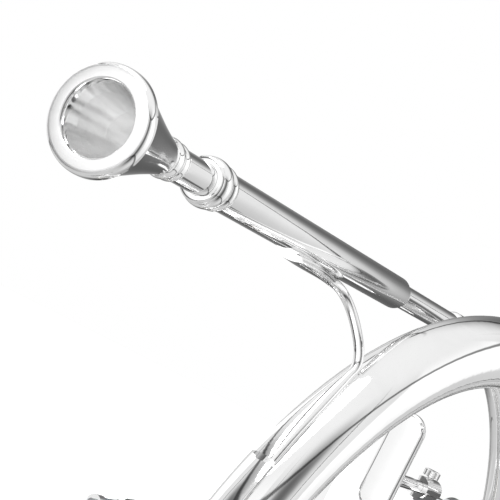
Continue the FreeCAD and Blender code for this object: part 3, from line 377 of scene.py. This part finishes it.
cork, tree, shader = start_material("cork_sheet_cut", {"Roughness": 0.85})
place = add_node(tree, "ShaderNodeTexCoord").outputs["Object"]
cells = add_node(tree, "ShaderNodeTexVoronoi", {"Scale": 1 / (0.5 * MM)}, {"Vector": place})
grain = add_node(tree, "ShaderNodeTexNoise", {"Scale": 1 / (1.2 * MM), "Detail": 4.0}, {"Vector": place})
tone = add_node(tree, "ShaderNodeValToRGB", {}, {"Fac": grain.outputs["Fac"]})
ramp_stops(tone, [(0.34, "#5E4025"), (0.48, "#A97C4B"), (0.66, "#C99D68")])
tree.links.new(tone.outputs["Color"], shader.inputs["Base Color"])
pits = add_node(tree, "ShaderNodeBump", {"Strength": 0.7, "Distance": 0.06 * MM},
                {"Height": cells.outputs["Distance"]})
tree.links.new(pits.outputs["Normal"], shader.inputs["Normal"])
for name in ("bumper_corks", "water_key_cork"):
    NODES[name].data.materials[0] = cork
for number in (1, 2, 3):
    NODES["action_string_%d" % number].data.materials[0] = cord_wax
print("soft finishes:", cord_wax.name, cork.name)

# %% Lever springs
VALVES = {1: -52.0, 2: 0.0, 3: 52.0}
VALVE_Z = 28.0
HINGE_X = -88.0
SPRING_START, SPRING_LENGTH = -13.5, 7.0
for number, across in VALVES.items():
    shape = bmesh.new()
    wind(shape, mm(HINGE_X, across + SPRING_START + 0.5, VALVE_Z), Vector((0, 1, 0)), 2.2, 0.42,
         SPRING_LENGTH - 1, 5.5)
    add_piece("lever_spring_%d" % number, shape, [SPRING], "root")
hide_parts("lever_springs")

# %% String wound round each hub, and the knots on its pegs
HUB_RADIUS, STRING_X, BAR_HALF, CORD = 3.7, -64.0, 11.0, 0.4
for number, across in VALVES.items():
    shape = bmesh.new()
    wind(shape, mm(STRING_X - 1, across, VALVE_Z), Vector((1, 0, 0)), HUB_RADIUS + CORD, CORD, 2.0, 2.0)
    add_piece("string_wrap_%d" % number, shape, [cord_wax], "rotor_body_%d" % number)
    shape = bmesh.new()
    for end in (-1, 1):
        spot = mm(STRING_X + end, across + HUB_RADIUS + CORD - 0.9, VALVE_Z + end * (BAR_HALF - 0.8))
        bead(shape, spot, Vector((0, 1, 0)), 0.82, 0.24, 24, 8)
        bead(shape, spot + mm(0, 0.5, 0), Vector((0, 1, 0)), 0.82, 0.24, 24, 8)
    add_piece("string_knots_%d" % number, shape, [cord_wax], "lever_body_%d" % number)

# %% Knurled thumb screw of the finger hook
low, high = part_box("hook_screw")
screw_top = high.z
middle = (low + high) / 2
shape = bmesh.new()
RIDGES = 40
HEAD_RADIUS, HEAD_WALL, HEAD_HEIGHT, SHANK_RADIUS = 3.4, 2.6, 2.95, 1.3
made = bmesh.ops.create_circle(shape, cap_ends=True, segments=RIDGES * 2, radius=HEAD_RADIUS * MM)
valleys = [v for at, v in enumerate(made["verts"]) if at % 2]
bmesh.ops.scale(shape, verts=valleys, vec=(0.93, 0.93, 1))
base_faces = list(shape.faces)
grown = bmesh.ops.extrude_face_region(shape, geom=base_faces)
top = [item for item in grown["geom"] if isinstance(item, bmesh.types.BMVert)]
bmesh.ops.translate(shape, verts=top, vec=(0, 0, HEAD_WALL * MM))
cap = [item for item in grown["geom"] if isinstance(item, bmesh.types.BMFace)]
bmesh.ops.inset_region(shape, faces=cap, thickness=0.7 * MM, depth=0.35 * MM, use_even_offset=True)
bmesh.ops.inset_region(shape, faces=cap, thickness=0.8 * MM, depth=-0.25 * MM, use_even_offset=True)
bmesh.ops.translate(shape, verts=shape.verts, vec=(middle.x, middle.y, screw_top - HEAD_HEIGHT * MM))
for vert in shape.verts:
    vert.tag = True
shank = screw_top / MM - low.z / MM - 2
turn(shape, [(0, 0), (0, SHANK_RADIUS), (shank, SHANK_RADIUS), (shank, 0)],
     Vector((middle.x, middle.y, low.z)), Vector((0, 0, 1)), 24)
screw = add_piece("hook_screw_knurled", shape, [SILVER], "root")
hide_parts("hook_screw")

# %% [markdown]
# ## Valve caps
# Each rotor valve is closed by a screwed cap. Its edge is knurled so that it can be unscrewed by hand, and
# its face is turned with two fine rings. The knurl could be a bump in the finish, but it shows at the
# outline of the cap, so it is a band of real ridges.

# %% Knurled bands and turned rings on the caps
CAP_RADIUS = 20.9
KNURL = 110
BAND_WIDTH, BAND_WALL, BAND_GAP = 3.2, 0.5, 0.15
RING_RADII, RING_WIRE = (9.0, 15.5), 0.28
for number, across in VALVES.items():
    low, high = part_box("valve_cap_%d" % number)
    shape = bmesh.new()
    made = bmesh.ops.create_circle(shape, cap_ends=False, segments=KNURL * 2,
                                   radius=(CAP_RADIUS + BAND_GAP) * MM)
    valleys = [v for at, v in enumerate(made["verts"]) if at % 2]
    bmesh.ops.scale(shape, verts=valleys, vec=(0.984, 0.984, 1))
    grown = bmesh.ops.extrude_edge_only(shape, edges=list(shape.edges))
    top = [item for item in grown["geom"] if isinstance(item, bmesh.types.BMVert)]
    bmesh.ops.translate(shape, verts=top, vec=(0, 0, BAND_WIDTH * MM))
    band_faces = list(shape.faces)
    bmesh.ops.solidify(shape, geom=band_faces, thickness=BAND_WALL * MM)
    bmesh.ops.transform(shape, matrix=aim(mm(low.x / MM + 2.2, across, VALVE_Z), Vector((1, 0, 0))),
                        verts=shape.verts)
    for vert in shape.verts:
        vert.tag = True
    for radius in RING_RADII:
        bead(shape, mm(high.x / MM - 0.05, across, VALVE_Z), Vector((1, 0, 0)), radius, RING_WIRE, 96, 8)
    add_piece("valve_cap_trim_%d" % number, shape, [SILVER], "root")

# %% [markdown]
# ## The white studio
# A mirror shows only what is around it, so lighting silver means building a room for it. Product
# photographers put the piece in a white tent with a few dark flags. Here the tent is a dome that the
# camera doesn't see. It is white near the camera, greyer at the sides and dark behind, with thin dark
# flags that draw the long lines on the tubes. The same pattern comes three times round, so that the horn
# looks alike from other sides.

# %% Floor
SCENE = bpy.context.scene
FLOOR_Z = START[0].z - 0.5 * MM
DOME_RADIUS = 6.0


def disc_mesh(name, radius, height):
    """A flat round sheet from the circle operator."""
    shape = bmesh.new()
    bmesh.ops.create_circle(shape, cap_ends=True, segments=96, radius=radius)
    bmesh.ops.translate(shape, verts=shape.verts, vec=(0, 0, height))
    mesh = bpy.data.meshes.new(name)
    shape.to_mesh(mesh)
    shape.free()
    return mesh


floor = bpy.data.objects.new("studio_floor", disc_mesh("studio_floor", DOME_RADIUS, FLOOR_Z))
SCENE.collection.objects.link(floor)
paper, tree, shader = start_material("floor_paper_painted_glow", {"Roughness": 0.7, "Specular IOR Level": 0.2})
shader.inputs["Base Color"].default_value = linear("#F4F4F4")
shader.inputs["Emission Color"].default_value = linear("#FFFFFF")
# The floor glows, which is painted light: its emission rises from 0.22 near the middle to 1.0 from about 1.3
# m out, so the paper turns white away from the horn.
place = add_node(tree, "ShaderNodeTexCoord").outputs["Object"]
away = add_node(tree, "ShaderNodeVectorMath", {"operation": "LENGTH"}, {0: place})
glow = add_node(tree, "ShaderNodeMapRange",
                {"From Min": 0.25, "From Max": 1.3, "To Min": 0.22, "To Max": 1.0},
                {"Value": away.outputs["Value"]})
tree.links.new(glow.outputs["Result"], shader.inputs["Emission Strength"])
floor.data.materials.append(paper)
print("floor at", round(FLOOR_Z, 4), "m")

# %% The tent
CAMERA_SPOT = mm(253.3, -582.4, 127.2)
FACING = math.atan2(CAMERA_SPOT.y, CAMERA_SPOT.x)
shape = bmesh.new()
bmesh.ops.create_uvsphere(shape, u_segments=64, v_segments=32, radius=DOME_RADIUS)
bmesh.ops.reverse_faces(shape, faces=shape.faces)
tent_mesh = bpy.data.meshes.new("studio_tent")
shape.to_mesh(tent_mesh)
shape.free()
tent = bpy.data.objects.new("studio_tent", tent_mesh)
SCENE.collection.objects.link(tent)
tent.visible_camera = False
floor.visible_glossy = False
cloth = bpy.data.materials.new("tent_lit_cloth")
cloth.use_nodes = True
tree = cloth.node_tree
tree.nodes.clear()
place = add_node(tree, "ShaderNodeTexCoord").outputs["Object"]
way = add_node(tree, "ShaderNodeVectorMath", {"operation": "NORMALIZE"}, {0: place})
axes = add_node(tree, "ShaderNodeSeparateXYZ", {}, {"Vector": way.outputs["Vector"]})
around = add_node(tree, "ShaderNodeMath", {"operation": "ARCTAN2"},
                  {0: axes.outputs["Y"], 1: axes.outputs["X"]})
turned = add_node(tree, "ShaderNodeMath", {"operation": "SUBTRACT", 1: FACING - math.radians(4)},
                  {0: around.outputs["Value"]})
thirds = add_node(tree, "ShaderNodeMath", {"operation": "MULTIPLY", 1: 3.0}, {0: turned.outputs["Value"]})
wave = add_node(tree, "ShaderNodeMath", {"operation": "COSINE"}, {0: thirds.outputs["Value"]})
share = add_node(tree, "ShaderNodeMapRange", {"From Min": -1.0, "From Max": 1.0},
                 {"Value": wave.outputs["Value"]})
walls = add_node(tree, "ShaderNodeValToRGB", {}, {"Fac": share.outputs["Result"]})
ramp_stops(walls, [(0.0, "#606060"), (0.10, "#848484"), (0.24, "#BEBEBE"), (0.40, "#D4D4D4"),
                   (0.41, "#404040"), (0.43, "#484848"), (0.44, "#DCDCDC"), (0.78, "#D8D8D8"),
                   (0.84, "#FFFFFF"), (1.0, "#FFFFFF")])
steep = add_node(tree, "ShaderNodeMath", {"operation": "ABSOLUTE"}, {0: axes.outputs["Z"]})
fade = add_node(tree, "ShaderNodeMapRange",
                {"interpolation_type": "SMOOTHSTEP", "From Min": 0.5, "From Max": 0.85},
                {"Value": steep.outputs["Value"]})
plain_walls = add_node(tree, "ShaderNodeMix", {"data_type": "RGBA", 7: linear("#E6E6E6")},
                       {0: fade.outputs["Result"], 6: walls.outputs["Color"]})
height = add_node(tree, "ShaderNodeMapRange", {"From Min": -1.0, "From Max": 1.0},
                  {"Value": axes.outputs["Z"]})
roof = add_node(tree, "ShaderNodeValToRGB", {}, {"Fac": height.outputs["Result"]})
ramp_stops(roof, [(0.0, "#D8D8D8"), (0.28, "#CCCCCC"), (0.30, "#707070"), (0.315, "#707070"),
                  (0.325, "#DADADA"), (0.45, "#E8E8E8"), (0.60, "#FFFFFF"), (0.78, "#FFFFFF"),
                  (0.79, "#808080"), (0.805, "#808080"), (0.815, "#F8F8F8"), (1.0, "#FFFFFF")])
cloth_tone = add_node(tree, "ShaderNodeMix", {"data_type": "RGBA", "blend_type": "MULTIPLY", 0: 1.0},
                      {6: plain_walls.outputs[2], 7: roof.outputs["Color"]})
lamp = add_node(tree, "ShaderNodeEmission", {"Strength": 1.2}, {"Color": cloth_tone.outputs[2]})
add_node(tree, "ShaderNodeOutputMaterial", {}, {"Surface": lamp.outputs["Emission"]})
tent.data.materials.append(cloth)
print("tent radius", DOME_RADIUS, "m, bright side at", round(math.degrees(FACING)), "degrees")

# %% White world, two soft lights and plain colour
world = bpy.data.worlds.new("white_room")
world.use_nodes = True
world.node_tree.nodes["Background"].inputs["Color"].default_value = linear("#FFFFFF")
world.node_tree.nodes["Background"].inputs["Strength"].default_value = 1.0
SCENE.world = world
SCENE.view_settings.view_transform = "Standard"
SCENE.view_settings.look = "None"
SCENE.cycles.max_bounces = 24
SCENE.cycles.glossy_bounces = 24


def softbox(name, spot, target, size, power):
    """A round area light of a size in metres, aimed at a point."""
    data = bpy.data.lights.new(name, "AREA")
    data.shape = "DISK"
    data.size = size
    data.energy = power
    light = bpy.data.objects.new(name, data)
    light.location = spot
    light.rotation_mode = "QUATERNION"
    light.rotation_quaternion = (target - light.location).to_track_quat("-Z", "Y")
    SCENE.collection.objects.link(light)


softbox("top_softbox", Vector((-0.3, -0.7, 1.5)), Vector((0, 0, 0)), 1.2, 14)
softbox("rim_softbox", RIM_CENTRE + Vector((-0.48, -1.42, 0.0)), RIM_CENTRE, 1.5, 4.2)

# %% Camera
CAMERA_RIGHT = Vector((0.7494, 0.4808, 0.4553))
CAMERA_UP = Vector((-0.3791, -0.2522, 0.8903))
LENS = 126.87
camera_data = bpy.data.cameras.new("camera")
camera_data.lens = LENS
camera_data.sensor_width = 36
camera_data.clip_start = 0.01
camera = bpy.data.objects.new("camera", camera_data)
SCENE.collection.objects.link(camera)
right = CAMERA_RIGHT.normalized()
up = (CAMERA_UP - right * CAMERA_UP.dot(right)).normalized()
back = right.cross(up)
camera.matrix_world = Matrix.Translation(CAMERA_SPOT) @ Matrix((right, up, back)).transposed().to_4x4()
SCENE.camera = camera
print("camera at", [round(v, 3) for v in camera.location])

print("size at the start", [round(v, 4) for v in START[1] - START[0]])
